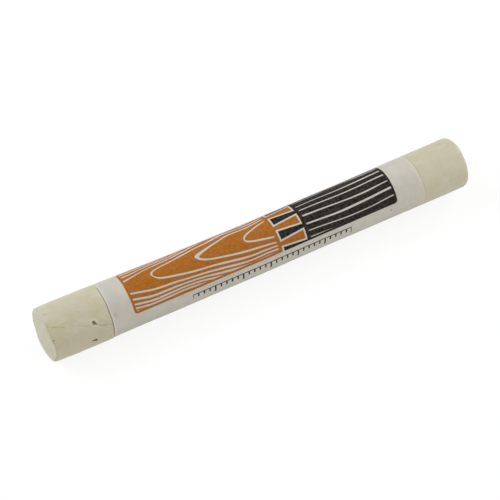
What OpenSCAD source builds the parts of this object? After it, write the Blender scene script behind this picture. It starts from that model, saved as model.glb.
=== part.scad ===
// Furniture repair wax stick: a cast wax crayon in a paper label.
// The sheet is wound once round the stick and lapped over its own start.
// The stick lies along X with its closer, flat end at -X, and rests on Z = 0.
// Angles round the stick are measured from +Y towards +Z.

/* [Wax stick] */
// Length of the whole stick
stick_len = 94.5; // [60:0.5:150]
// Diameter of the bare wax at both ends
stick_d = 11.2; // [8:0.1:20]
// How far the wax under the label lies below the bare ends
seat_depth = 0.27; // [0.15:0.01:0.6]
// Rounding of the rim at the closer end
near_rim_r = 0.7; // [0.3:0.1:2]
// Rounding of the rim at the far end
far_rim_r = 0.9; // [0.3:0.1:2]
// Length over which the bare wax slopes down towards the label
shoulder_len = 0.8; // [0.6:0.1:2]
// How far the bare wax has sloped down where it meets the label
shoulder_drop = 0.08; // [0.02:0.01:0.14]

/* [Label] */
// Bare wax between the closer end and the label
near_bare = 12.6; // [5:0.1:25]
// Bare wax between the label and the far end
far_bare = 10.9; // [5:0.1:25]
// Thickness of the paper
paper_t = 0.1; // [0.06:0.01:0.2]
// Width of the lap, measured round the stick
lap_w = 6; // [3:0.5:12]
// Angle at which the outer edge of the lap lies
lap_edge_at = 12; // [-60:1:60]
// Length over which the sheet climbs onto its own start
climb_w = 1.5; // [0.6:0.1:3]
// Gap between each edge of the label and the step in the wax
edge_gap = 0.15; // [0.05:0.05:0.5]

/* [Adhesive] */
// Thickness of the dried adhesive
glue_t = 0.03; // [0.02:0.01:0.06]
// Width of the strip that holds the start of the sheet to the wax
tack_w = 4; // [2:0.5:8]
// Bare margin between an adhesive strip and the edges of the paper
glue_margin = 0.8; // [0.4:0.1:1.4]

/* [Hidden] */

$fn = 120;
climb_steps = 8;
// How far the climb stands out of the turns that it joins, on each side
join_t = 0.006;
degrees_per_rad = 180 / PI;

stick_r = stick_d / 2;
seat_r = stick_r - seat_depth;
label_len = stick_len - near_bare - far_bare;

// The sheet lies one adhesive film above the wax, and the lap one film above the sheet.
sheet_r = seat_r + glue_t;
sheet_out_r = sheet_r + paper_t;
lap_r = sheet_out_r + glue_t;
climb_rise = lap_r - sheet_r;

// A width round the stick as an angle
function arc_angle(width, radius) = width / radius * degrees_per_rad;

lap_angle = arc_angle(lap_w, lap_r);
climb_angle = arc_angle(climb_w, sheet_out_r);
// The turns reach this far into the climb.
half_step = climb_angle / climb_steps / 2;
start_at = lap_edge_at - lap_angle;
tack_margin_angle = arc_angle(glue_margin, sheet_r);
lap_margin_angle = arc_angle(glue_margin, lap_r);

// Places a shape drawn along Z, from the closer end at 0, onto the lying stick.
module on_stick() {
    translate([-stick_len / 2, 0, stick_r])
        rotate([90, 0, 90])
            children();
}

// A strip of sheet that follows the stick: a piece of a thin tube.
module bent_strip(inner_r, thickness, from_angle, turn, from_z, length) {
    translate([0, 0, from_z])
        rotate_extrude(angle = turn, start = from_angle)
            translate([inner_r, 0])
                square([thickness, length]);
}

// What the label's seat and the shoulders beside it take off the half outline
seat_from = near_bare - edge_gap;
seat_to = near_bare + label_len + edge_gap;
seat_outline = [
    [seat_r, seat_from],
    [stick_r - shoulder_drop, seat_from],
    [stick_r, seat_from - shoulder_len],
    [2 * stick_r, seat_from - shoulder_len],
    [2 * stick_r, seat_to + shoulder_len],
    [stick_r, seat_to + shoulder_len],
    [stick_r - shoulder_drop, seat_to],
    [seat_r, seat_to],
];

// Half of the stick's outline, turned about its axis to make the stick
module stick_outline() {
    difference() {
        union() {
            square([stick_r - near_rim_r, stick_len / 2]);
            translate([0, near_rim_r])
                square([stick_r, stick_len - near_rim_r - far_rim_r]);
            translate([0, stick_len / 2])
                square([stick_r - far_rim_r, stick_len / 2]);
            translate([stick_r - near_rim_r, near_rim_r])
                circle(near_rim_r);
            translate([stick_r - far_rim_r, stick_len - far_rim_r])
                circle(far_rim_r);
        }
        polygon(seat_outline);
    }
}

// A share from 0 to 1, slow at both ends
function eased(share) = let (s = min(max(share, 0), 1)) s * s * (3 - 2 * s);

// A point of the climb, which lies out from the sheet's inner side by a distance
function climb_point(share, out) =
    let (angle = start_at - climb_angle * (1 - share))
    (sheet_r + climb_rise * eased(share) + out) * [cos(angle), sin(angle)];

// The climb reaches one step into the turns that it joins.
climb_outline = concat(
    [for (i = [-1 : climb_steps + 1]) climb_point(i / climb_steps, -join_t)],
    [for (i = [climb_steps + 1 : -1 : -1]) climb_point(i / climb_steps, paper_t + join_t)]
);

// Cast wax, slightly waisted where the label lies
module wax_stick() {
    color([0.80, 0.78, 0.68])
        on_stick()
            rotate_extrude()
                stick_outline();
}

// One sheet: the first turn, the climb onto its start, and the lap
module label_paper() {
    color([0.90, 0.89, 0.86])
        on_stick() {
            bent_strip(
                sheet_r,
                paper_t,
                start_at,
                360 - climb_angle + half_step,
                near_bare,
                label_len
            );
            translate([0, 0, near_bare])
                linear_extrude(label_len)
                    polygon(climb_outline);
            bent_strip(
                lap_r,
                paper_t,
                start_at - half_step,
                lap_angle + half_step,
                near_bare,
                label_len
            );
        }
}

// Adhesive between the wax and the start of the sheet
module tack_strip() {
    color([0.86, 0.80, 0.62])
        on_stick()
            bent_strip(
                seat_r,
                glue_t,
                start_at + tack_margin_angle,
                arc_angle(tack_w, seat_r),
                near_bare + glue_margin,
                label_len - 2 * glue_margin
            );
}

// Adhesive between the start of the sheet and the lap over it
module lap_strip() {
    color([0.86, 0.80, 0.62])
        on_stick()
            bent_strip(
                sheet_out_r,
                glue_t,
                start_at + lap_margin_angle,
                lap_angle - 2 * lap_margin_angle,
                near_bare + glue_margin,
                label_len - 2 * glue_margin
            );
}

wax_stick();
label_paper();
tack_strip();
lap_strip();
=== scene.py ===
"""Looks of a furniture repair wax stick in a paper label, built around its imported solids.

Lengths on the stick are in millimetres from its closer end, unless a name says otherwise.
Angles round the stick are in degrees from +Y towards +Z, so that 90 is its top.
"""

import math
from functools import partialmethod

import bpy
import numpy as np
from mathutils import Matrix, Vector, noise


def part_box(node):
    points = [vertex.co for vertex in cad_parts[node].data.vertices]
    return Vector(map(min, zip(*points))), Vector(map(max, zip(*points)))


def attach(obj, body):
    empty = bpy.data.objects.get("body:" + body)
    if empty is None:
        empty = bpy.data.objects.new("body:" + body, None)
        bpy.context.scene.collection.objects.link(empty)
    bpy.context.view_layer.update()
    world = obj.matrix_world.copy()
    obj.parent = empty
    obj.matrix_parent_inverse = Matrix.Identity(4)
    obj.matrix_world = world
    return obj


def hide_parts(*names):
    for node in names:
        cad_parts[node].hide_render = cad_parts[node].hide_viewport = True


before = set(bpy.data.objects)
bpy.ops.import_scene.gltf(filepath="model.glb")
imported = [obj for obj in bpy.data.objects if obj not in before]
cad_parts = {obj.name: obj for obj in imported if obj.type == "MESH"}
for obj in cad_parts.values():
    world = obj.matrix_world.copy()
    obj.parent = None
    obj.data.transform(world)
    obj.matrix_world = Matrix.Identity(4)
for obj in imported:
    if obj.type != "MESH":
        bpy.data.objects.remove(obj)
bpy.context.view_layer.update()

MM = 0.001

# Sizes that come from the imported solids
stick_low, stick_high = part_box("wax_stick")
label_low, label_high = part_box("label_paper")
STICK_LEN = (stick_high.x - stick_low.x) / MM
STICK_R = (stick_high.z - stick_low.z) / 2 / MM
LABEL_FROM = (label_low.x - stick_low.x) / MM
LABEL_TO = (label_high.x - stick_low.x) / MM
LABEL_LEN = LABEL_TO - LABEL_FROM

# The sheet and its adhesive, as in the part's source
PAPER_T = 0.1
GLUE_T = 0.03
SHEET_START = -50.62
CLIMB_FROM = 293.64
LAP_FROM = 309.38
LAP_EDGE = 372.0
TACK_W = 4.0
LAP_W = 6.0
GLUE_MARGIN = 0.8

# The waist of the wrapped part: radius, place as a share of the length, and growth beside it
WAIST_R = 5.33
WAIST_AT = 0.51
WAIST_RISE = 1.06

# Swells of the wrapped part, at its closer end and round two places, largest at one angle
SWELL_ANGLE = 37
LEFT_SWELL = 0.065
LEFT_SWELL_FADES = (20, 27)
SWELLS = [(45, -0.05), (60, 0.06)]
SWELL_HALF_LEN = 5

# Radius of the bare wax at some places along the stick
BARE_PLACES = [0, 1.7, 3.5, 8.0, 11.0, 12.6, 83.6, 85.4, 94.5]
BARE_RADII = [5.49, 5.555, 5.59, 5.60, 5.60, 5.565, 5.49, 5.505, 5.535]

# Sideways bend of the stick, towards -Y in the middle
BOW = 0.329
BOW_SKEW = 0.150

# Worn rounding of both rims, at even steps of 30 degrees round the stick
NEAR_RIM_ROUNDINGS = [1.02, 0.74, 0.56, 0.34, 0.3, 0.28, 0.34, 0.48, 0.71, 0.63, 0.42, 0.95]
FAR_RIM_ROUNDINGS = [0.73, 0.76, 0.82, 0.78, 0.9, 0.77, 0.63, 0.66, 0.63, 0.66, 0.68, 0.7]
RIM_COARSE_NOISE = 0.08
RIM_FINE_NOISE = 0.07

# How far the rim of each end face lies inwards. The closer face leans and is worn on one side,
# at the same even steps.
NEAR_FACE_SET_BACKS = [0.04, 0.1, 0.17, 0.28, 0.27, 0.47, 0.5, 0.13, 0.04, -0.01, -0.03, -0.01]
FAR_FACE_SET_BACK = 0.06

# Angles of the points of each ring, which are closer together where the finest marks lie
FINE_FROM = 110
FINE_TO = 188
RING_ANGLES = np.concatenate(
    [np.arange(FINE_FROM, FINE_TO, 0.6), np.arange(FINE_TO, FINE_FROM + 360, 1.25)]
)


def smooth(low, high, value):
    """0 below low, 1 above high, and an eased change between them."""
    share = np.clip((np.asarray(value, float) - low) / (high - low), 0, 1)
    return share * share * (3 - 2 * share)


def bell(value, middle, half_width):
    """1 at the middle, fading to 0 on both sides of it."""
    return np.exp(-((value - middle) / half_width) ** 2)


def bow(x):
    """How far the stick's axis lies towards +Y."""
    q = x / STICK_LEN - 0.5
    return BOW * (4 * q * q - 1) - BOW_SKEW * 8 * q * (q * q - 0.25)


def bare_radius(x):
    return np.interp(x, BARE_PLACES, BARE_RADII)


def label_radius(x, angle):
    """Outer radius of the sheet's first turn."""
    swell = LEFT_SWELL * (1 - smooth(*LEFT_SWELL_FADES, x))
    for middle, rise in SWELLS:
        swell = swell + rise * bell(x, middle, SWELL_HALF_LEN)
    waist = WAIST_R + WAIST_RISE * (x / STICK_LEN - WAIST_AT) ** 2
    return waist + swell * np.cos(np.radians(angle - SWELL_ANGLE))


def place(x, radius, angle):
    """Points in metres from arrays of lengths, radii and angles in degrees."""
    turn = np.radians(angle)
    y = bow(x) + radius * np.cos(turn)
    z = np.maximum(STICK_R + radius * np.sin(turn), 0)
    return np.stack([x - STICK_LEN / 2, y, z], axis=-1) * MM


def surface_noise(points, cell, octaves, offset):
    """Fractal noise of about -1 to 1 at points in metres, with features of cell millimetres."""
    flat = points.reshape(-1, 3) / (cell * MM) + offset
    values = [noise.fractal(Vector(p), 1.0, 2.0, octaves) for p in flat]
    return np.array(values).reshape(points.shape[:-1])


def ring_noise(angle, cell, offset):
    """Noise of about -1 to 1 round the stick, with features of cell millimetres."""
    turn = np.radians(np.asarray(angle, float))
    reach = STICK_R / cell
    pairs = np.stack([np.cos(turn) * reach, np.sin(turn) * reach], -1).reshape(-1, 2)
    values = [noise.noise(Vector((a + offset, b, offset))) for a, b in pairs]
    return np.array(values).reshape(turn.shape)


def arc_from(angle, centre):
    """Distance round the stick from an angle, in millimetres."""
    return np.radians((np.asarray(angle, float) - centre + 180) % 360 - 180) * STICK_R


def round_values(angle, values):
    """Values at even steps round the stick, joined by a smooth closed curve."""
    values = np.array(values)
    at = np.asarray(angle, float) % 360 / 360 * len(values)
    step = np.floor(at).astype(int)
    share = at - step
    before, low, high, after = (values[(step + k) % len(values)] for k in (-1, 0, 1, 2))
    bend = 2 * before - 5 * low + 4 * high - after + share * (3 * (low - high) + after - before)
    return low + 0.5 * share * (high - before + share * bend)


# The label's edges: how far they lie in from those of the solid, how far they sway round the
# stick and from which angle, and how uneven they are
LEFT_EDGE_IN = 0.06
LEFT_EDGE_SWAY = 0.05
LEFT_SWAY_ANGLE = 200
RIGHT_EDGE_IN = 0.29
RIGHT_EDGE_SWAY = 0.28
RIGHT_SWAY_ANGLE = 136
EDGE_NOISE = 0.03

# Gaps between the wax and the label's edges, and the dirt and painted shade in the left one,
# every 30 degrees
LEFT_GAPS = [0.06, 0.06, 0.06, 0.09, 0.11, 0.18, 0.13, 0.12, 0.08, 0.06, 0.06, 0.06]
LEFT_DIRT_AND_SHADE = [0.1, 0.1, 0.12, 0.3, 0.38, 0.36, 0.44, 0.34, 0.25, 0.15, 0.1, 0.1]
RIGHT_GAPS = [0.03, 0.03, 0.04, 0.09, 0.025, 0.0, 0.0, 0.01, 0.03, 0.03, 0.03, 0.03]
LEFT_GAP_NOISE = 0.02
RIGHT_GAP_NOISE = 0.01
SMALLEST_GAP = 0.003
DIRT_AND_SHADE_HALF_WIDTH = 0.17


def left_edge(angle):
    sway = -LEFT_EDGE_SWAY * np.cos(np.radians(angle - LEFT_SWAY_ANGLE))
    uneven = EDGE_NOISE * ring_noise(angle, cell=2.4, offset=3.1)
    return LABEL_FROM + LEFT_EDGE_IN + sway + uneven


def right_edge(angle):
    sway = RIGHT_EDGE_SWAY * np.sin(np.radians(angle - RIGHT_SWAY_ANGLE))
    uneven = EDGE_NOISE * ring_noise(angle, cell=2.0, offset=8.6)
    return LABEL_TO - RIGHT_EDGE_IN + sway + uneven


def left_gap(angle):
    uneven = LEFT_GAP_NOISE * ring_noise(angle, cell=1.2, offset=5.5)
    return round_values(angle, LEFT_GAPS) + uneven


def right_gap(angle):
    uneven = RIGHT_GAP_NOISE * ring_noise(angle, cell=1.4, offset=1.7)
    return np.maximum(round_values(angle, RIGHT_GAPS) + uneven, SMALLEST_GAP)


# Mesh making

def add_object(name, data):
    obj = bpy.data.objects.new(name, data)
    bpy.context.scene.collection.objects.link(obj)
    return obj


def mesh_object(name, points, faces, materials):
    mesh = bpy.data.meshes.new(name)
    mesh.from_pydata(points.tolist(), [], faces)
    for material in materials:
        mesh.materials.append(material)
    mesh.shade_smooth()
    return add_object(name, mesh)


def set_attribute(obj, name, values):
    attribute = obj.data.attributes.new(name, "FLOAT", "POINT")
    attribute.data.foreach_set("value", np.asarray(values, np.float32).ravel())


def grid_faces(index, wrap=False):
    """Quads between the rows of an array of vertex numbers."""
    after = np.roll(index, -1, axis=1)
    last = None if wrap else -1
    quads = np.stack(
        [index[:-1, :last], after[:-1, :last], after[1:, :last], index[1:, :last]], -1
    )
    return quads.reshape(-1, 4).tolist()


def closed_revolve(name, rings, tips, materials):
    """A solid from closed rings of points, with a tip in the middle of each end."""
    count, around = rings.shape[:2]
    points = np.concatenate([rings.reshape(-1, 3), tips])
    index = np.arange(count * around).reshape(count, around)
    first, last = index[0].tolist(), index[-1].tolist()
    faces = grid_faces(index, wrap=True)
    faces += [[count * around, b, a] for a, b in zip(first, first[1:] + first[:1])]
    faces += [[count * around + 1, a, b] for a, b in zip(last, last[1:] + last[:1])]
    return mesh_object(name, points, faces, materials)


def sheet_faces(rows, columns):
    """Faces of a thin solid between two grids of points, those of its outer side first."""
    top = np.arange(rows * columns).reshape(rows, columns)
    under = top + rows * columns
    faces = grid_faces(top) + grid_faces(under[::-1])
    for a, b in (
        (top[0], under[0]),
        (under[-1], top[-1]),
        (under[:, 0], top[:, 0]),
        (top[:, -1], under[:, -1]),
    ):
        faces += grid_faces(np.stack([b, a]))
    return faces


def set_sheet_uv(mesh, sheet_uv):
    """Gives both sides of a sheet the same flat coordinates."""
    layer = mesh.uv_layers.new(name="sheet")
    corner = np.zeros(len(mesh.loops), int)
    mesh.loops.foreach_get("vertex_index", corner)
    both = np.concatenate([sheet_uv.reshape(-1, 2)] * 2)
    layer.data.foreach_set("uv", both[corner].ravel())


def closed_sheet(name, outer, inner, materials):
    """A thin solid between two grids of points, with its rim closed.

    The outer side takes the first material, and the rest of it the last one.
    """
    rows, columns = outer.shape[:2]
    points = np.concatenate([outer.reshape(-1, 3), inner.reshape(-1, 3)])
    faces = sheet_faces(rows, columns)
    obj = mesh_object(name, points, faces, materials)
    side = np.full(len(faces), len(materials) - 1)
    side[:(rows - 1) * (columns - 1)] = 0
    obj.data.polygons.foreach_set("material_index", side)
    obj.data.set_sharp_from_angle(angle=math.radians(50))
    return obj


# Node trees

# Numbers of the Mix node's sockets for colours, as others share their names
MIX_INPUTS = (0, 6, 7)
MIX_RESULT = 2


class Field:
    """A number that varies over a surface, which Python's operators combine."""

    def __init__(self, socket):
        self.tree = socket.id_data
        self.socket = socket

    def math(self, operation, *others):
        node = self.tree.nodes.new("ShaderNodeMath")
        node.operation = operation
        for socket, value in zip(node.inputs, (self, *others)):
            feed(socket, value)
        return Field(node.outputs[0])

    __add__ = partialmethod(math, "ADD")
    __sub__ = partialmethod(math, "SUBTRACT")
    __mul__ = partialmethod(math, "MULTIPLY")
    __truediv__ = partialmethod(math, "DIVIDE")
    __abs__ = partialmethod(math, "ABSOLUTE")

    # The larger and the smaller one of two
    above = partialmethod(math, "MAXIMUM")
    below = partialmethod(math, "MINIMUM")

    def inverse(self):
        return self * -1 + 1

    def from_step(self, pitch):
        """Distance from the middle of the nearest of even steps."""
        return abs((self / pitch).math("FRACT") - 0.5) * pitch

    def ramp(self, low, high):
        """0 at low, 1 at high, eased between them."""
        turned = low > high
        node = new_node(self.tree, "ShaderNodeMapRange", {
            "Value": self,
            "From Min": min(low, high),
            "From Max": max(low, high),
            "To Min": float(turned),
            "To Max": float(not turned),
        })
        node.interpolation_type = "SMOOTHSTEP"
        return Field(node.outputs[0])


def feed(socket, value):
    """Links a field or a socket to an input, or sets its number or colour."""
    if isinstance(value, Field):
        value = value.socket
    if isinstance(value, bpy.types.NodeSocket):
        socket.id_data.links.new(value, socket)
    else:
        socket.default_value = value


def set_inputs(node, inputs):
    """Feeds a node's inputs, by their names or numbers."""
    for name, value in inputs.items():
        feed(node.inputs[name], value)


def new_node(tree, kind, inputs):
    node = tree.nodes.new(kind)
    set_inputs(node, inputs)
    return node


def new_material(name):
    """A material with its node tree and its Principled shader."""
    material = bpy.data.materials.new(name)
    material.use_nodes = True
    tree = material.node_tree
    shader = next(n for n in tree.nodes if n.type == "BSDF_PRINCIPLED")
    return material, tree, shader


def object_place(tree):
    """The point on the object, in metres."""
    return tree.nodes.new("ShaderNodeTexCoord").outputs["Object"]


def parts_of(vector):
    """The first two parts of a vector, as fields."""
    split = new_node(vector.id_data, "ShaderNodeSeparateXYZ", {"Vector": vector})
    return Field(split.outputs[0]), Field(split.outputs[1])


def stretched(vector, scale_along):
    """A vector whose noise comes out longer along the stick, for a scale below 1."""
    inputs = {"Vector": vector, "Scale": (scale_along, 1, 1)}
    return new_node(vector.id_data, "ShaderNodeMapping", inputs).outputs[0]


def noise_field(vector, cell, detail=2.0, distortion=0.0, roughness=0.5):
    """Noise of about 0 to 1, with features of cell millimetres where vector is in metres."""
    node = new_node(vector.id_data, "ShaderNodeTexNoise", {
        "Vector": vector,
        "Scale": 1 / (cell * MM),
        "Detail": detail,
        "Roughness": roughness,
        "Distortion": distortion,
    })
    return Field(node.outputs["Fac"])


def cell_field(vector, cell):
    """Distance from the middle of scattered cells, which are cell millimetres apart."""
    inputs = {"Vector": vector, "Scale": 1 / (cell * MM)}
    return Field(new_node(vector.id_data, "ShaderNodeTexVoronoi", inputs).outputs["Distance"])


def attribute_field(tree, name):
    node = tree.nodes.new("ShaderNodeAttribute")
    node.attribute_name = name
    return Field(node.outputs["Fac"])


def mixed(factor, first, second):
    """The first colour where factor is 0, and the second one where it is 1."""
    node = factor.tree.nodes.new("ShaderNodeMix")
    node.data_type = "RGBA"
    set_inputs(node, dict(zip(MIX_INPUTS, (factor, first, second))))
    return node.outputs[MIX_RESULT]


def layered(colour, layers):
    """A colour below layers, which are pairs of a share from 0 to 1 and a colour."""
    for share, layer in layers:
        colour = mixed(share, colour, layer)
    return colour


def bump(height, distance_mm, strength):
    inputs = {"Height": height, "Distance": distance_mm * MM, "Strength": strength}
    return new_node(height.tree, "ShaderNodeBump", inputs).outputs[0]


def srgb(red, green, blue):
    """A colour written as it shows on a screen, from 0 to 255, as a linear one."""
    def linear(value):
        share = value / 255
        return share / 12.92 if share <= 0.04045 else ((share + 0.055) / 1.055) ** 2.4

    return (linear(red), linear(green), linear(blue), 1.0)


WAX = srgb(203, 197, 170)
WAX_PALE = srgb(209, 205, 187)
WAX_WARM = srgb(198, 190, 156)
# A painted highlight on the raised lip round the chip
WAX_LIP_HIGHLIGHT = srgb(230, 225, 198)
# Dirt and painted shade for the hollows of the wax and the gap beside the label
WAX_DIRT_AND_SHADE = srgb(92, 80, 48)
# Dark specks in the wax, and painted shade along the crack
WAX_SPECK_AND_CRACK_SHADE = srgb(120, 104, 76)
PAPER = srgb(213, 209, 198)
PAPER_GREY = srgb(205, 201, 190)
PAPER_SOAKED = srgb(214, 208, 189)
# A painted highlight on the sheet's cut edges
PAPER_EDGE_HIGHLIGHT = srgb(226, 221, 207)
# Dirt on the sheet, and a painted shadow beside the lap's edge
PAPER_DIRT_AND_SHADE = srgb(140, 128, 106)
INK_ORANGE = srgb(173, 101, 0)
INK_DARK = srgb(24, 14, 11)
ADHESIVE = srgb(222, 208, 170)
ADHESIVE_DARK = srgb(204, 184, 138)


# The rings of the wax stick

# Steps along the middle of the label's seat
SEAT_MIDDLE_STEPS = np.arange(1.8, LABEL_LEN - 1.5, 1.8)


def rim_rounding(roundings, coarse, fine):
    """The rounding of a rim, with coarse and fine noise, given by their cells and offsets."""
    rough = 1 + RIM_COARSE_NOISE * ring_noise(RING_ANGLES, *coarse)
    rough = rough + RIM_FINE_NOISE * ring_noise(RING_ANGLES, *fine)
    return round_values(RING_ANGLES, roundings) * rough


def seat_ring(x):
    """A ring of the wax below the label."""
    radius = label_radius(x, RING_ANGLES) - PAPER_T - GLUE_T
    return x, radius, np.zeros_like(x), np.ones_like(x)


class WaxEnd:
    """The rings of one bare end of the wax, placed by their distances in from it.

    A ring is its places, its radii, and how much its surface faces along the stick and out.
    """

    LIP_SHARES = [0.0, 0.5, 1.0]
    SEAT_STEPS = [0.0, 0.1, 0.3, 0.7]
    # The rings of the side follow the label's edge over this length, and end short of it
    EDGE_REACH = 3
    SHORT_OF_EDGE = 0.1

    def place(self, distance):
        return self.START + self.INWARDS * distance

    def ring(self, distance, radius, along, out):
        ones = np.ones(len(RING_ANGLES))
        return self.place(distance), radius, -self.INWARDS * along * ones, out * ones

    def face(self, share):
        flat = bare_radius(self.START) - self.rounding
        return self.ring(self.set_back * flat * share / STICK_R, flat * share, 1, 0)

    def rim(self, turn):
        turn = math.radians(turn)
        inset = self.rounding * (1 - math.cos(turn))
        radius = bare_radius(self.place(inset)) - self.rounding * (1 - math.sin(turn))
        distance = inset + self.set_back * radius / STICK_R
        return self.ring(distance, radius, math.cos(turn), math.sin(turn))

    def side(self, distance):
        edge = self.LABEL_AT
        to_edge = self.seat_at - edge + self.SHORT_OF_EDGE
        to_edge = to_edge * smooth(edge - self.EDGE_REACH, edge - self.EDGE_KEPT, distance)
        to_rim = self.rounding + self.set_back - self.RIM
        to_rim = to_rim * (1 - smooth(self.RIM, self.RIM + self.RIM_REACH, distance))
        distance = distance + to_edge + to_rim
        return self.ring(distance, bare_radius(self.place(distance)), 0, 1)

    def lip(self, share):
        """The rounding of the wax beside the label."""
        turn = math.radians(90 * share)
        distance = self.seat_at - self.lip_size * (1 - math.sin(turn))
        radius = bare_radius(self.place(distance)) - self.lip_size * (1 - math.cos(turn))
        return self.ring(distance, radius, 0, 1)

    def seat(self, step):
        return seat_ring(self.place(self.seat_at + step))

    def rings(self):
        """The rings in order, from the middle of the face to the label's seat."""
        stretches = [
            (self.face, self.FACE_SHARES),
            (self.rim, self.RIM_TURNS),
            (self.side, self.SIDE_DISTANCES),
            (self.lip, self.LIP_SHARES),
            (self.seat, self.SEAT_STEPS),
        ]
        return [ring_at(value) for ring_at, values in stretches for value in values]


class NearEnd(WaxEnd):
    START = 0
    INWARDS = 1
    LABEL_AT = LABEL_FROM
    EDGE_KEPT = 0.2
    # The rounding that the rings are laid out for, and how far they follow each angle's own one
    RIM = 0.6
    RIM_REACH = 4
    FACE_SHARES = np.linspace(0.04, 1, 22)[:-1]
    RIM_TURNS = np.linspace(0, 90, 10)
    SIDE_DISTANCES = np.arange(RIM + 0.12, LABEL_AT - 0.14, 0.1)
    LIP = 0.07

    def __init__(self):
        self.rounding = rim_rounding(NEAR_RIM_ROUNDINGS, coarse=(2.6, 2.2), fine=(0.9, 7.7))
        self.set_back = round_values(RING_ANGLES, NEAR_FACE_SET_BACKS)
        self.seat_at = left_edge(RING_ANGLES) - left_gap(RING_ANGLES)
        self.lip_size = self.LIP


class FarEnd(WaxEnd):
    START = STICK_LEN
    INWARDS = -1
    LABEL_AT = STICK_LEN - LABEL_TO
    EDGE_KEPT = 0.3
    RIM = 0.75
    RIM_REACH = 1.5
    FACE_SHARES = np.linspace(0.05, 1, 17)[:-1]
    RIM_TURNS = np.linspace(0, 90, 12)
    SIDE_DISTANCES = np.arange(LABEL_AT - 0.4, RIM + 0.1, -0.19)[::-1]
    # The lip is smaller where the gap beside the label is narrow
    LIP = 0.035
    LIP_PER_GAP = 1.5

    def __init__(self):
        gap = right_gap(RING_ANGLES)
        self.rounding = rim_rounding(FAR_RIM_ROUNDINGS, coarse=(3.4, 4.4), fine=(1.1, 9.1))
        self.set_back = FAR_FACE_SET_BACK
        self.seat_at = STICK_LEN - right_edge(RING_ANGLES) - gap
        self.lip_size = np.minimum(self.LIP, self.LIP_PER_GAP * gap)


def wax_rings():
    """All rings as arrays: places, radii, how much they face along and out, and angles."""
    seat = [seat_ring(np.full(len(RING_ANGLES), LABEL_FROM + step)) for step in SEAT_MIDDLE_STEPS]
    rows = NearEnd().rings() + seat + FarEnd().rings()[::-1]
    x, radius, along, out = (np.array(column) for column in zip(*rows))
    return x, radius, along, out, np.tile(RING_ANGLES, (len(rows), 1))


# The marks on the wax

# The crack along the bare wax, in three lines: half width, places and angles of its bends, and
# how strong each stretch is
CRACKS = [
    (
        0.15,
        [(0.61, 114.9), (1.35, 118.7), (2.09, 121.9), (3.41, 127.6), (4.74, 130.0),
         (5.88, 133.8), (6.85, 139.2), (7.83, 144.0), (8.7, 145.4)],
        [0.35, 0.6, 0.7, 0.1, 0.1, 0.3, 0.85, 0.4],
    ),
    (
        0.14,
        [(9.4, 144.6), (9.98, 150.3), (10.49, 152.9), (11.07, 153.8), (12.29, 158.9)],
        [1.0, 0.9, 1.0, 0.9],
    ),
    (0.14, [(10.43, 153.1), (10.77, 156.2), (12.08, 165.7)], [0.3, 0.5]),
]
CRACK_DEPTH = 0.07
# How much is left of the crack where it fades, and the levels of noise that it fades between
CRACK_LEFT = 0.45
CRACK_FADES = (-0.35, 0.25)

# Corners of the shallow chip beside the crack, as places and angles, and its depth
CHIP = [(8.54, 138.8), (8.76, 136.8), (9.2, 136.6), (9.53, 145.6), (9.47, 147.7), (8.64, 145.2)]
CHIP_DEPTH = 0.42
CHIP_SLOPE = (-0.05, 0.3)
CHIP_NOISE = 0.05
# The raised lip round the chip: its rise, its distance into the chip, and its half width
CHIP_LIP_RISE = 0.06
CHIP_LIP_AT = (-0.18, 0.13)

# Small uneven marks: place, angle, half length along, half width round, and rise.
# A place below 0 lies that far in on the closer face, and one past the length on the far face.
SLIT = [(8.34, 180.9, 0.55, 0.3, -0.3), (8.6, 181.9, 0.3, 0.36, -0.24)]
MARKS = [
    (0.5, 138.8, 0.3, 0.3, -0.03), (0.6, 144.4, 0.3, 0.28, -0.1),
    (0.6, 150.6, 0.3, 0.22, -0.06), (0.95, 148.0, 0.4, 0.2, -0.03),
    (0.55, 112.5, 0.26, 0.65, -0.065), (-0.5, 331.0, 0.7, 0.5, -0.16),
    (0.4, 171.0, 0.3, 0.4, -0.06), (0.35, 60.0, 0.4, 0.4, -0.08),
    (0.5, 232.0, 0.5, 0.5, -0.14), (-0.15, 134.5, 0.3, 0.5, 0.06),
    (-0.1, 146.5, 0.3, 0.6, 0.06), (0.0, 120.0, 0.4, 0.6, 0.05),
    (94.2, 64.0, 0.5, 0.5, -0.12), (94.6, 205.0, 0.6, 0.5, -0.14),
    (94.9, 318.0, 0.5, 0.7, -0.12), (88.38, 143.1, 0.18, 0.14, -0.08),
    (3.2, 82.0, 0.16, 0.16, -0.03), (6.67, 155.2, 0.14, 0.14, -0.03),
    (6.12, 145.7, 0.14, 0.14, -0.03), (90.9, 176.0, 0.25, 0.2, -0.06),
    (6.4, 262.0, 0.4, 0.3, -0.1), (4.1, 18.0, 0.5, 0.3, -0.12),
    (89.6, 21.0, 0.3, 0.4, -0.1), (86.2, 302.0, 0.25, 0.2, -0.08),
]
# A mark's slope lies between these shares of its half size, which the noise shifts
MARK_SLOPE = (0.35, 1.1)
MARK_NOISE = 0.3

# Scrape marks across the end faces: their angle in radians, how fast they come and wander,
# their depth, and the unevenness of the faces
SCRAPE_ANGLE = math.radians(62)
SCRAPE_PHASE_PER_MM = 11.44
SCRAPE_WANDER = 5.72
SCRAPE_DEPTH = 0.028
SCRAPE_FADES = (-0.6, 0.4)
FACE_NOISE = 0.05

# Unevenness of the bare wax, which keeps a small distance from the label
BARE_COARSE_NOISE = 0.035
BARE_FINE_NOISE = 0.014
BARE_DISTANCE = 0.06

# How far in the middle of each end face lies
TIP_IN = 0.02


def segment_distance(x, arc, start, end):
    """Distance from points on the unrolled surface to a straight stretch."""
    along = np.subtract(end, start)
    share = ((x - start[0]) * along[0] + (arc - start[1]) * along[1]) / along.dot(along)
    share = np.clip(share, 0, 1)
    return np.hypot(x - start[0] - share * along[0], arc - start[1] - share * along[1])


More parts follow.
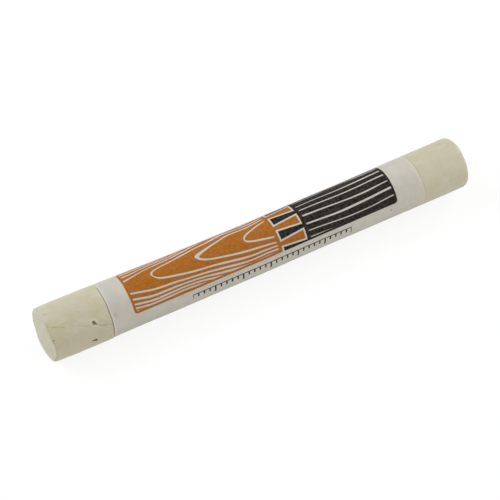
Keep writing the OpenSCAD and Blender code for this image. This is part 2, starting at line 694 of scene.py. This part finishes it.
def crack_line(x, angle, half_width, bends, strengths):
    """How deep in one line of the crack a point is, from 0 to 1."""
    centre = bends[0][1]
    arc = arc_from(angle, centre)
    found = np.zeros_like(x)
    ends = [(bend_x, arc_from(bend_angle, centre)) for bend_x, bend_angle in bends]
    for start, end, strength in zip(ends, ends[1:], strengths):
        distance = segment_distance(x, arc, start, end)
        found = np.maximum(found, strength * (1 - smooth(0, half_width, distance)))
    return found


def crack_depth(x, angle, base):
    """How deep in the crack a point is, from 0 to 1."""
    found = np.maximum.reduce([crack_line(x, angle, *line) for line in CRACKS])
    shown = smooth(*CRACK_FADES, surface_noise(base, cell=0.7, octaves=2, offset=31.0))
    return found * (CRACK_LEFT + (1 - CRACK_LEFT) * shown)


def polygon_depth(x, angle, corners):
    """Distance inside the nearest side of a convex outline, negative outside it."""
    centre = corners[0][1]
    arc = arc_from(angle, centre)
    ends = [(corner_x, arc_from(corner_angle, centre)) for corner_x, corner_angle in corners]
    middle = np.mean(ends, axis=0)
    inside = np.full(x.shape, np.inf)
    for start, end in zip(ends, ends[1:] + ends[:1]):
        along = np.subtract(end, start)
        normal = np.array([-along[1], along[0]]) / np.hypot(*along)
        if normal.dot(middle - start) < 0:
            normal = -normal
        inside = np.minimum(inside, (x - start[0]) * normal[0] + (arc - start[1]) * normal[1])
    return inside


def marks_height(run, angle, ragged, marks):
    """Rise of small pits and lumps, whose outlines the ragged noise breaks up."""
    height = np.zeros_like(run)
    for at_run, at_angle, half_run, half_arc, rise in marks:
        reach = np.hypot((run - at_run) / half_run, arc_from(angle, at_angle) / half_arc)
        height = height + rise * (1 - smooth(*MARK_SLOPE, reach + MARK_NOISE * ragged))
    return height


def face_height(base, along):
    """Scrapes and unevenness of the end faces, where along says how much is face."""
    y = base[..., 1] / MM
    z = base[..., 2] / MM - STICK_R
    across = y * math.cos(SCRAPE_ANGLE) + z * math.sin(SCRAPE_ANGLE)
    wander = surface_noise(base, cell=3.5, octaves=2, offset=11.3)
    scrapes = np.sin(across * SCRAPE_PHASE_PER_MM + wander * SCRAPE_WANDER)
    shown = smooth(*SCRAPE_FADES, surface_noise(base, cell=2.6, octaves=2, offset=17.0))
    uneven = surface_noise(base, cell=1.6, octaves=3, offset=21.0)
    return np.abs(along) * (SCRAPE_DEPTH * scrapes * shown + FACE_NOISE * uneven)


def bare_height(x, base):
    """Unevenness of the bare wax."""
    coarse = BARE_COARSE_NOISE * surface_noise(base, cell=4.5, octaves=2, offset=0.7)
    fine = BARE_FINE_NOISE * surface_noise(base, cell=1.3, octaves=3, offset=5.9)
    bare = (x < LABEL_FROM - BARE_DISTANCE) | (x > LABEL_TO + BARE_DISTANCE)
    return np.where(bare, coarse + fine, 0.0)


class WaxMarks:
    """The crack, the chip, the slit and the small marks, at each point of the rings."""

    def __init__(self, x, radius, out, angle, base):
        near_side = np.where(x < LABEL_FROM, 1.0, 0.0) * (out > 0.5)
        inwards = bare_radius(x) - radius
        run = x + np.where(x < STICK_LEN / 2, -inwards, inwards)
        ragged = surface_noise(base, cell=0.4, octaves=2, offset=40.0)
        chip = polygon_depth(x, angle, CHIP) + CHIP_NOISE * ragged
        self.crack = near_side * crack_depth(x, angle, base)
        self.chip_pit = near_side * smooth(*CHIP_SLOPE, chip)
        self.chip_lip = near_side * bell(chip, *CHIP_LIP_AT)
        self.slit = near_side * -marks_height(run, angle, ragged, SLIT)
        self.small = marks_height(run, angle, ragged, MARKS)

    def height(self):
        chip = CHIP_LIP_RISE * self.chip_lip - CHIP_DEPTH * self.chip_pit
        return chip - self.slit - CRACK_DEPTH * self.crack + self.small

    def dark(self):
        """How dark a point is painted inside the chip, the slit and the small marks, as dirt and
        painted shade in these hollows, from 0 to 1.
        """
        opened = np.maximum(0.6 * smooth(0.1, 0.8, self.chip_pit), smooth(0.02, 0.14, self.slit))
        return np.maximum(opened, 0.5 * smooth(0.02, 0.12, -self.small))


def gap_dirt_and_shade(x, angle):
    """Dirt and painted shade in the gap beside the label's left edge, from 0 to 1."""
    gap_middle = left_edge(angle) - 0.5 * left_gap(angle)
    return round_values(angle, LEFT_DIRT_AND_SHADE) * bell(x, gap_middle, DIRT_AND_SHADE_HALF_WIDTH)


def add_wax_stick():
    x, radius, along, out, angle = wax_rings()
    base = place(x, radius, angle)
    marks = WaxMarks(x, radius, out, angle, base)
    height = bare_height(x, base) + face_height(base, along) + marks.height()
    x = x + along * height
    rings = place(x, radius + out * height, angle)
    tips = place(np.array([TIP_IN, STICK_LEN - TIP_IN]), np.zeros(2), np.zeros(2))
    obj = closed_revolve("wax_stick_body", rings, tips, [wax_material()])
    # Dirt and painted shade in the hollows and in the gap beside the label
    dirt_and_painted_shade = np.maximum(marks.dark(), gap_dirt_and_shade(x, angle))
    for name, values in (("dirt_and_painted_shade", dirt_and_painted_shade), ("painted_lip_highlight", marks.chip_lip), ("crack", marks.crack)):
        set_attribute(obj, name, np.append(values.ravel(), np.zeros(len(tips))))
    obj.data.set_sharp_from_angle(angle=math.radians(60))
    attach(obj, "root")
    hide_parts("wax_stick")


# The wax's material

# Painted light and shade on the wax: how fast its colour changes towards both ends, and up to
# which place across the stick
PAINTED_LIGHT_RATE = 0.0013
PAINTED_LIGHT_TO = 1.5


def painted_light_tint(spot):
    """Painted light and shade: the closer end is painted yellower low on its front, and the far
    end paler there.
    """
    along, across = parts_of(spot)
    return along / MM * (across / MM).below(PAINTED_LIGHT_TO) * PAINTED_LIGHT_RATE


def wax_colour(tree, spot, grain):
    clouds = noise_field(spot, cell=4.2, detail=3, distortion=0.6).ramp(0.36, 0.68)
    bloom = noise_field(stretched(spot, 0.45), cell=1.5, detail=4).ramp(0.5, 0.75)
    specks = cell_field(spot, cell=2.3).ramp(0.075, 0.035)
    layers = [
        # Painted light and shade towards both ends of the wax
        (clouds * 0.7 + painted_light_tint(spot), WAX_WARM),
        (bloom * 0.7, WAX_PALE),
        (grain.ramp(0.42, 0.75) * 0.4, WAX_PALE),
        (specks * 0.35, WAX_SPECK_AND_CRACK_SHADE),
        # Painted highlight on the chip's raised lip
        (attribute_field(tree, "painted_lip_highlight") * 0.55, WAX_LIP_HIGHLIGHT),
        # Painted shade along the crack
        (attribute_field(tree, "crack") * 0.6, WAX_SPECK_AND_CRACK_SHADE),
        # Dirt and painted shade in the hollows and in the gap beside the label
        (attribute_field(tree, "dirt_and_painted_shade"), WAX_DIRT_AND_SHADE),
    ]
    return layered(WAX, layers)


def wax_material():
    material, tree, shader = new_material("cream_wax")
    spot = object_place(tree)
    grain = noise_field(spot, cell=0.55, detail=4, roughness=0.62)
    scratch = noise_field(stretched(spot, 0.12), cell=0.28, detail=2)
    set_inputs(shader, {
        "Base Color": wax_colour(tree, spot, grain),
        "Roughness": grain * 0.22 + 0.36,
        "Subsurface Weight": 0.12,
        "Subsurface Radius": (1.0, 0.85, 0.6),
        "Subsurface Scale": 0.7 * MM,
        "Specular IOR Level": 0.55,
        "Normal": bump(grain * 0.7 + scratch * 0.3, distance_mm=0.05, strength=0.6),
    })
    return material


# The label's sheet

# The radius at which the sheet is unrolled, and its millimetres in one unit of flat coordinates
SHEET_TURNS_R = 5.42
SHEET_UNIT = 100
# Lengths along the winding at the lap's edge, and where that edge lies on the turn below it
LAP_EDGE_V = math.radians(LAP_EDGE - SHEET_START) * SHEET_TURNS_R
UNDER_LAP_EDGE_V = math.radians(LAP_EDGE - 360 - SHEET_START) * SHEET_TURNS_R + 0.08

# Places of the sheet's points: beside its edges, and along its plain and its creased part
SHEET_EDGE_STEPS = [0, 0.08, 0.2, 0.4, 0.7, 1.1]
PLAIN_STEPS = np.arange(1.6, 61.5, 0.8)
CREASED_STEPS = np.arange(61.5, LABEL_LEN - 1.2, 0.16)

# Their angles: even steps round the first turn and the lap, and closer ones between
FIRST_ANGLES = np.arange(SHEET_START, CLIMB_FROM, 1.4)
CLIMB_ANGLES = np.linspace(CLIMB_FROM, LAP_FROM, 16)
LAP_ANGLES = np.arange(LAP_FROM + 1.4, LAP_EDGE - 0.3, 1.4)
LAST_ANGLES = [LAP_EDGE - 0.25, LAP_EDGE]

# The slight curl of the lap: its rise, the angle that it takes, and how it varies along the lap
CURL_RISE = 0.06
CURL_TURN = 9
CURL_LEAST = 0.6
CURL_WAVE = 0.23
CURL_WAVE_START = 1.1

# The lift of the left edge: its rise, its length along, and the angles where it comes and goes
EDGE_LIFT_RISE = 0.045
EDGE_LIFT_LEN = 1.4
EDGE_LIFT_COMES = (120, 160)
EDGE_LIFT_GOES = (215, 250)

# How far the paper stands off in its soft waves
PAPER_WAVES = 0.012

# Faint creases round the right end of the sheet: place along the sheet, height, half width
CREASES = [
    (62.8, 0.03, 0.22), (64.1, 0.038, 0.2), (65.3, 0.024, 0.18), (65.9, 0.034, 0.22),
    (67.7, 0.04, 0.22), (68.6, 0.024, 0.18), (69.3, 0.03, 0.2),
]
CREASE_WANDER = 0.25
CREASE_MEAN_SHARE = 0.5
CREASE_SHARE_NOISE = 0.9


def sheet_grid():
    """Shares of the way from the sheet's left edge to its right one, and angles, as grids."""
    right = [LABEL_LEN - step for step in reversed(SHEET_EDGE_STEPS)]
    along = np.concatenate([SHEET_EDGE_STEPS, PLAIN_STEPS, CREASED_STEPS, right])
    angles = np.concatenate([FIRST_ANGLES, CLIMB_ANGLES, LAP_ANGLES, LAST_ANGLES])
    return np.meshgrid(along / LABEL_LEN, angles, indexing="ij")


def winding_lift(x, angle):
    """How far the sheet's inner side lies above its first turn."""
    climb = (PAPER_T + GLUE_T) * smooth(CLIMB_FROM, LAP_FROM, angle)
    varied = CURL_LEAST + (1 - CURL_LEAST) * np.sin(x * CURL_WAVE + CURL_WAVE_START)
    return climb + CURL_RISE * smooth(LAP_EDGE - CURL_TURN, LAP_EDGE, angle) * varied


def edge_lift(along, angle):
    """The lower part of the left edge stands a little off the wax."""
    turn = angle % 360
    part = smooth(*EDGE_LIFT_COMES, turn) * (1 - smooth(*EDGE_LIFT_GOES, turn))
    return EDGE_LIFT_RISE * part * (1 - smooth(0, EDGE_LIFT_LEN, along))


def wave_lift(points):
    waves = 0.5 + 0.5 * surface_noise(points, cell=6.0, octaves=2, offset=3.3)
    return PAPER_WAVES * np.clip(waves, 0, 1)


def crease_lift(along, angle):
    """Creases that wander and come and go round the stick."""
    lift = np.zeros_like(along)
    for at, rise, half_width in CREASES:
        wander = CREASE_WANDER * ring_noise(angle, cell=2.8, offset=at)
        varied = CREASE_SHARE_NOISE * ring_noise(angle, cell=3.6, offset=at + 4)
        share = np.clip(CREASE_MEAN_SHARE + varied, 0, 1)
        lift = lift + rise * share * bell(along - at, wander, half_width)
    return lift


def add_label():
    share, angle = sheet_grid()
    left, right = left_edge(angle[0]), right_edge(angle[0])
    x = left + (right - left) * share
    along = x - LABEL_FROM
    radius = label_radius(x, angle) - PAPER_T + winding_lift(x, angle) + edge_lift(along, angle)
    radius = radius + wave_lift(place(x, radius, angle)) + crease_lift(along, angle)
    outer = place(x, radius + PAPER_T, angle)
    inner = place(x, radius, angle)
    materials = [label_material(printed=True), label_material(printed=False)]
    obj = closed_sheet("label_sheet", outer, inner, materials)
    unrolled = np.radians(angle - SHEET_START) * SHEET_TURNS_R
    set_sheet_uv(obj.data, np.stack([along, unrolled], axis=-1) / SHEET_UNIT)
    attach(obj, "root")
    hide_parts("label_paper")


# The label's print

class Print:
    """The label's printed design, on the unrolled sheet in millimetres.

    Two boards, one orange and one dark, meet in a dovetail joint above a plain ruler.
    """

    # Outline of both boards together, and how far their grain stays inside it
    LEFT = 4.6
    RIGHT = 64.2
    LOW = 9.6
    HIGH = 19.9
    CORNER = 0.7
    BORDER = 0.5
    # Half the width of the soft edges of the outline, of the joint and ruler, and of the grain
    SOFT = 0.07
    SOFT_JOINT = 0.05
    SOFT_LINE = 0.06

    # The dovetail joint
    JOINT_FROM = 37.4
    JOINT_TO = 42.8
    TAIL_HALF = 0.62
    TAIL_FLARE = 0.09
    TAILS = 3
    JOINT_GAP = 0.36
    # Between these distances from the joint the grain fades out
    GRAIN_FADES = (0.7, 1.3)

    # The arched grain: how wide its arches are, how far apart, and where they start
    ARCH_SPREAD = 6.2
    ARCH_PITCH = 9.5
    ARCH_START = 0.62
    ARCH_BELOW_MIDDLE = 0.6
    ARCH_WANDER_ALONG = 9.0
    ARCH_WANDER_ACROSS = 2.4
    ARCH_LINE = 0.18
    ARCH_LINE_NOISE = 0.36

    # The straight grain
    GRAIN_PITCH = 1.55
    GRAIN_WANDER = 1.5
    GRAIN_LINE = 0.02
    GRAIN_LINE_NOISE = 0.5

    # The ruler: where it lies, its strokes, and how much longer each fifth one is
    RULER_FROM = 16.9
    RULER_TO = 53.1
    RULER_V = 21.1
    RULER_PITCH = 1.25
    RULER_GROUP = 5
    STROKE_LEN = 0.95
    STROKE_EXTRA = 0.75

    # How uneven the whole design lies
    WOBBLE = 0.12

    def __init__(self, tree):
        uv = tree.nodes.new("ShaderNodeUVMap")
        uv.uv_map = "sheet"
        self.paper = uv.outputs[0]
        flat_u, flat_v = parts_of(self.paper)
        wobble = self.noise(cell=10.0, detail=2)
        self.u = flat_u * SHEET_UNIT + (wobble - 0.5) * self.WOBBLE
        self.v = flat_v * SHEET_UNIT
        self.middle = (self.LOW + self.HIGH) / 2

    def noise(self, cell, detail, scale_along=1.0):
        paper = stretched(self.paper, scale_along)
        return noise_field(paper, cell, detail)

    def board(self, inset=0.0):
        """1 inside the outline of both boards together, 0 outside, or so far inside it."""
        half_u, half_v = (self.RIGHT - self.LEFT) / 2, (self.HIGH - self.LOW) / 2
        over_u = abs(self.u - (self.LEFT + self.RIGHT) / 2) - (half_u - self.CORNER)
        over_v = abs(self.v - self.middle) - (half_v - self.CORNER)
        out_u, out_v = over_u.above(0), over_v.above(0)
        outside = (out_u * out_u + out_v * out_v).math("SQRT")
        distance = outside + over_u.above(over_v).below(0) - self.CORNER
        return distance.ramp(self.SOFT - inset, -self.SOFT - inset)

    def joint(self):
        """Distance into the left board from the dovetailed joint, negative in the right one."""
        from_tail = (self.v - self.LOW).from_step((self.HIGH - self.LOW) / self.TAILS)
        half = (self.u - self.JOINT_FROM) * self.TAIL_FLARE + self.TAIL_HALF
        in_tail = (self.u * -1 + self.JOINT_TO).below(half - from_tail)
        return (self.u * -1 + self.JOINT_FROM).above(in_tail)

    def lines(self, level, steepness, thickness):
        """Thin lines where level passes a half, of an even thickness in millimetres."""
        distance = abs(level.math("FRACT") - 0.5) / steepness
        return (distance - thickness * 0.5).ramp(self.SOFT_LINE, -self.SOFT_LINE)

    def arched_grain(self):
        """Wood grain that runs along the board in nested arches."""
        wander = self.noise(cell=60.0, detail=1, scale_along=0.5)
        width = self.noise(cell=80.0, detail=1)
        along = self.u + (wander - 0.5) * self.ARCH_WANDER_ALONG
        across = self.v - (self.middle - self.ARCH_BELOW_MIDDLE)
        across = across + (wander - 0.5) * self.ARCH_WANDER_ACROSS
        level = across * across / self.ARCH_SPREAD - along / self.ARCH_PITCH + self.ARCH_START
        slope = across * across * (2 / self.ARCH_SPREAD) ** 2 + (1 / self.ARCH_PITCH) ** 2
        thickness = width * self.ARCH_LINE_NOISE + self.ARCH_LINE
        lines = self.lines(level, slope.math("SQRT"), thickness)
        return lines * (self.u * -1 + self.JOINT_FROM).ramp(*self.GRAIN_FADES)

    def straight_grain(self):
        """Wood grain of long, slightly wavy lines."""
        wander = self.noise(cell=50.0, detail=1, scale_along=0.22)
        width = self.noise(cell=22.0, detail=0, scale_along=0.14)
        level = self.v / self.GRAIN_PITCH + (wander - 0.5) * self.GRAIN_WANDER
        thickness = width * self.GRAIN_LINE_NOISE + self.GRAIN_LINE
        lines = self.lines(level, 1 / self.GRAIN_PITCH, thickness)
        return lines * (self.u - self.JOINT_TO).ramp(*self.GRAIN_FADES)

    def ruler(self):
        """A row of short strokes, each fifth one longer."""
        soft = self.SOFT_JOINT
        after_start = self.u.ramp(self.RULER_FROM - soft, self.RULER_FROM + soft)
        before_end = self.u.ramp(self.RULER_TO + soft, self.RULER_TO - soft)
        stroke = self.u.from_step(self.RULER_PITCH).ramp(0.22, 0.12)
        longer = self.u.from_step(self.RULER_PITCH * self.RULER_GROUP)
        longer = longer.ramp(0.6 * self.RULER_PITCH, 0.4 * self.RULER_PITCH)
        length = longer * self.STROKE_EXTRA + self.STROKE_LEN
        under = self.v.ramp(self.RULER_V - soft, self.RULER_V + soft)
        tall = (self.v - self.RULER_V - length).ramp(soft, -soft)
        base = abs(self.v - self.RULER_V).ramp(0.15, 0.07)
        return (stroke * tall * under).above(base) * after_start * before_end

    def orange(self):
        edge = self.JOINT_GAP / 2
        part = self.joint().ramp(edge - self.SOFT_JOINT, edge + self.SOFT_JOINT)
        grain = self.arched_grain() * self.board(self.BORDER)
        return self.board() * part * grain.inverse()

    def dark(self):
        edge = -self.JOINT_GAP / 2
        part = self.joint().ramp(edge + self.SOFT_JOINT, edge - self.SOFT_JOINT)
        grain = self.straight_grain() * self.board(self.BORDER)
        board = self.board() * part * grain.inverse()
        return board.above(self.ruler())

    def round_spot(self, at_u, at_v, size, soft):
        """1 in the middle of a small round spot, 0 outside it."""
        over_u, over_v = self.u - at_u, self.v - at_v
        distance = (over_u * over_u + over_v * over_v).math("SQRT")
        return distance.ramp(size + soft, size - soft)


# The label's material

# Along the sheet: where it is soaked with wax, and where a highlight is painted on its cut edges
LEFT_SOAK = (1.0, 0.1)
RIGHT_SOAK = (67.8, 70.6)
LEFT_CUT = (0.42, 0.26)
RIGHT_CUT = (69.9, 70.3)
# Round the sheet: where the painted highlight on the right cut edge gets stronger, and the lap's
# cut edge, which gets a painted highlight too
RIGHT_CUT_HIGHLIGHT_GROWS = (19.6, 17.6)
LAP_CUT = (LAP_EDGE_V - 0.24, LAP_EDGE_V - 0.12)

# Two round spots of dirt: place along the sheet, place round it, size, and softness
SMUDGE_SPOT = (0.85, 18.3, 0.3, 0.45)
DARK_SPOT = (62.5, 21.1, 0.2, 0.12)


def paper_colour(spot, fibres):
    clouds = noise_field(spot, cell=6.0, detail=3)
    patches = noise_field(spot, cell=1.5, detail=3)
    shares = [
        clouds.ramp(0.35, 0.7) * 0.6,
        patches.ramp(0.4, 0.65) * 0.5,
        fibres.ramp(0.45, 0.8) * 0.5,
    ]
    return layered(PAPER, [(share, PAPER_GREY) for share in shares])


def edge_layers(spot, design):
    """The sheet's soaked parts, the painted highlight on its cut edges, and the dirt and painted
    shadow beside the lap.
    """
    uneven = noise_field(spot, cell=2.2, detail=3)
    left_soak = (design.u + (uneven - 0.5) * 1.6).ramp(*LEFT_SOAK) * 0.4
    right_soak = (design.u + (uneven - 0.5) * 2.2).ramp(*RIGHT_SOAK) * 0.6
    right_cut_highlight = design.u.ramp(*RIGHT_CUT) * (design.v.ramp(*RIGHT_CUT_HIGHLIGHT_GROWS) * 0.4 + 0.1)
    # Painted highlight on the cut edges
    cut = design.u.ramp(*LEFT_CUT).above(right_cut_highlight).above(design.v.ramp(*LAP_CUT) * 0.7)
    # Dirt and a painted shadow beside the lap's edge
    beside_lap = abs(design.v - UNDER_LAP_EDGE_V).ramp(0.22, 0.05) * uneven * 0.7
    soak = left_soak.above(right_soak)
    return [(soak, PAPER_SOAKED), (cut, PAPER_EDGE_HIGHLIGHT), (beside_lap, PAPER_DIRT_AND_SHADE)]


def dirt_layer(spot, design):
    """Smudges near the left edge, and specks all over."""
    smudges = noise_field(spot, cell=0.9, detail=2).ramp(0.6, 0.8)
    smudges = smudges * design.u.ramp(3.0, 0.8) * 0.3
    smudges = smudges.above(design.round_spot(*SMUDGE_SPOT) * 0.26)
    specks = cell_field(spot, cell=4.0).ramp(0.05, 0.03) * 0.4
    specks = specks.above(design.round_spot(*DARK_SPOT) * 0.9)
    return (smudges.above(specks), PAPER_DIRT_AND_SHADE)


def ink_layers(spot, design):
    """Both inks, which cover the paper a little unevenly."""
    mottle = noise_field(spot, cell=0.5, detail=3).ramp(0.3, 0.75)
    return [
        (design.orange() * (mottle * -0.1 + 1.0), INK_ORANGE),
        (design.dark() * (mottle * -0.06 + 1.0), INK_DARK),
    ]


def label_material(printed):
    material, tree, shader = new_material("label_print" if printed else "label_paper_back")
    spot = object_place(tree)
    fibres = noise_field(stretched(spot, 0.35), cell=0.4, detail=4, roughness=0.65)
    colour = paper_colour(spot, fibres)
    if printed:
        design = Print(tree)
        layers = edge_layers(spot, design)
        layers += [dirt_layer(spot, design), *ink_layers(spot, design)]
        colour = layered(colour, layers)
    set_inputs(shader, {
        "Base Color": colour,
        "Roughness": fibres * 0.2 + 0.45,
        "Specular IOR Level": 0.08,
        "Normal": bump(fibres, distance_mm=0.02, strength=0.5),
    })
    return material


# The two adhesive films

# The angle from the sheet's start to a film, its points along and round the stick, and how thin
# a layer stays free above and below it
FILM_FROM = 8.6
FILM_POINTS_ALONG = 70
FILM_POINTS_ROUND = 19
FILM_SKIN = 0.001
# How much of its width a film fills, and how uneven its sides are
FILM_FILL = 0.94
FILM_NOISE = 0.05
FILM_NOISE_SCALE = 0.35


def film_spread(place_line):
    """How wide a film is at some places, as a share of its mean width."""
    points = [Vector((at * FILM_NOISE_SCALE, 0.5, 2.0)) for at in place_line]
    return np.array([1 + FILM_NOISE * noise.noise(point) for point in points])


def add_film(name, node, from_angle, width, below):
    """A dried film of adhesive under the sheet, which runs along most of it."""
    turn = math.degrees(width / SHEET_TURNS_R)
    angle_line = np.linspace(from_angle, from_angle + turn, FILM_POINTS_ROUND)
    place_line = np.linspace(LABEL_FROM + GLUE_MARGIN, LABEL_TO - GLUE_MARGIN, FILM_POINTS_ALONG)
    x, angle = np.meshgrid(place_line, angle_line, indexing="ij")
    centre = from_angle + turn / 2
    angle = centre + (angle - centre) * film_spread(place_line)[:, None] * FILM_FILL
    base = label_radius(x, angle) + below
    outer = place(x, base + GLUE_T - FILM_SKIN, angle)
    inner = place(x, base + FILM_SKIN, angle)
    obj = closed_sheet(name, outer, inner, [adhesive_material(name)])
    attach(obj, "root")
    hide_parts(node)


def adhesive_material(name):
    material, tree, shader = new_material(name + "_adhesive")
    streaks = noise_field(stretched(object_place(tree), 0.2), cell=0.8, detail=3)
    set_inputs(shader, {
        "Base Color": mixed(streaks.ramp(0.3, 0.7), ADHESIVE, ADHESIVE_DARK),
        "Roughness": streaks * 0.25 + 0.25,
        "Normal": bump(streaks, distance_mm=0.01, strength=0.5),
    })
    return material


# Camera, lights and floor

CAMERA_AZIMUTH = 29.116
CAMERA_ELEVATION = 49.409
CAMERA_FORWARD_MM = 310.15
CAMERA_RIGHT_MM = 1.698
CAMERA_UP_MM = 1.058
CAMERA_FOCAL_PIXELS = 1548.0
PHOTO_WIDTH_PIXELS = 500
SENSOR_WIDTH_MM = 36.0
CAMERA_SEES_M = (0.01, 20)

# Soft lights: name, place in metres, side in metres, power in watts, colour
LIGHTS = [
    ("left", (-0.80, 0.0, 0.30), 0.5, 0.46, (1.0, 1.0, 1.0)),
    ("front", (0.30, -0.60, 0.40), 0.6, 2.28, (1.0, 0.98, 0.94)),
    ("right", (0.75, 0.10, 0.45), 0.5, 3.25, (1.0, 0.995, 0.98)),
    ("left_back", (-0.50, 0.50, 0.50), 0.5, 4.55, (0.925, 0.945, 1.0)),
]
WORLD_LEVEL = 0.235

FLOOR_HALF_SIDE_M = 3.0
FLOOR_BELOW_MM = 0.02
FLOOR_COLOUR = (0.8, 0.8, 0.8, 1)
FLOOR_GLOW_SHARE = 0.75
FLOOR_GLOW = 1.13
WHITE = (1, 1, 1, 1)


def add_camera():
    azimuth, elevation = math.radians(CAMERA_AZIMUTH), math.radians(CAMERA_ELEVATION)
    right = Vector((math.cos(azimuth), -math.sin(azimuth), 0))
    ahead = Vector((math.sin(azimuth), math.cos(azimuth), 0))
    forward = ahead * math.cos(elevation) - Vector((0, 0, math.sin(elevation)))
    up = right.cross(forward)
    centre = Vector((0, 0, STICK_R)) * MM
    offset = right * CAMERA_RIGHT_MM + up * CAMERA_UP_MM + forward * CAMERA_FORWARD_MM
    data = bpy.data.cameras.new("camera")
    data.sensor_width = SENSOR_WIDTH_MM
    data.lens = CAMERA_FOCAL_PIXELS / PHOTO_WIDTH_PIXELS * SENSOR_WIDTH_MM
    data.clip_start, data.clip_end = CAMERA_SEES_M
    camera = add_object("camera", data)
    turned = Matrix((right, up, -forward)).transposed().to_4x4()
    camera.matrix_world = Matrix.Translation(centre - offset * MM) @ turned
    bpy.context.scene.camera = camera


def add_lights():
    for name, spot, side, power, colour in LIGHTS:
        data = bpy.data.lights.new(name, "AREA")
        data.shape = "SQUARE"
        data.size = side
        data.energy = power
        data.color = colour
        lamp = add_object(name, data)
        lamp.location = spot
        lamp.rotation_euler = Vector(spot).to_track_quat("Z", "Y").to_euler()


def seen_straight(tree):
    """1 for what the camera sees, straight or in gloss, and 0 for light that bounces."""
    node = tree.nodes.new("ShaderNodeLightPath")
    camera = Field(node.outputs["Is Camera Ray"])
    glossy = Field(node.outputs["Is Glossy Ray"])
    through = Field(node.outputs["Is Transmission Ray"])
    return camera.above(glossy).above(through)


def add_world():
    world = bpy.data.worlds.new("studio")
    bpy.context.scene.world = world
    world.use_nodes = True
    tree = world.node_tree
    background = next(n for n in tree.nodes if n.type == "BACKGROUND")
    strength = seen_straight(tree) * (1 - WORLD_LEVEL) + WORLD_LEVEL
    set_inputs(background, {"Color": WHITE, "Strength": strength})


def add_floor():
    side = FLOOR_HALF_SIDE_M
    corners = [(-side, -side, 0), (side, -side, 0), (side, side, 0), (-side, side, 0)]
    floor = mesh_object("floor", np.array(corners, float), [[0, 1, 2, 3]], [floor_material()])
    floor.location.z = -FLOOR_BELOW_MM * MM


def floor_material():
    """A white floor, which shows as white and keeps a soft part of the shadow."""
    material, tree, shader = new_material("studio_floor")
    tree.nodes.remove(shader)
    output = next(n for n in tree.nodes if n.type == "OUTPUT_MATERIAL")
    diffuse = new_node(tree, "ShaderNodeBsdfDiffuse", {"Color": FLOOR_COLOUR})
    glow = new_node(tree, "ShaderNodeEmission", {"Color": WHITE, "Strength": FLOOR_GLOW})
    share = seen_straight(tree) * FLOOR_GLOW_SHARE
    inputs = {0: share, 1: diffuse.outputs[0], 2: glow.outputs[0]}
    feed(output.inputs["Surface"], new_node(tree, "ShaderNodeMixShader", inputs).outputs[0])
    return material


add_camera()
add_wax_stick()
add_label()
add_film("tack_film", "tack_strip", SHEET_START + FILM_FROM, TACK_W, -PAPER_T - GLUE_T)
add_film("lap_film", "lap_strip", LAP_FROM + FILM_FROM, LAP_W - 2 * GLUE_MARGIN, 0.0)
add_world()
add_lights()
add_floor()
bpy.context.scene.view_settings.view_transform = "Standard"
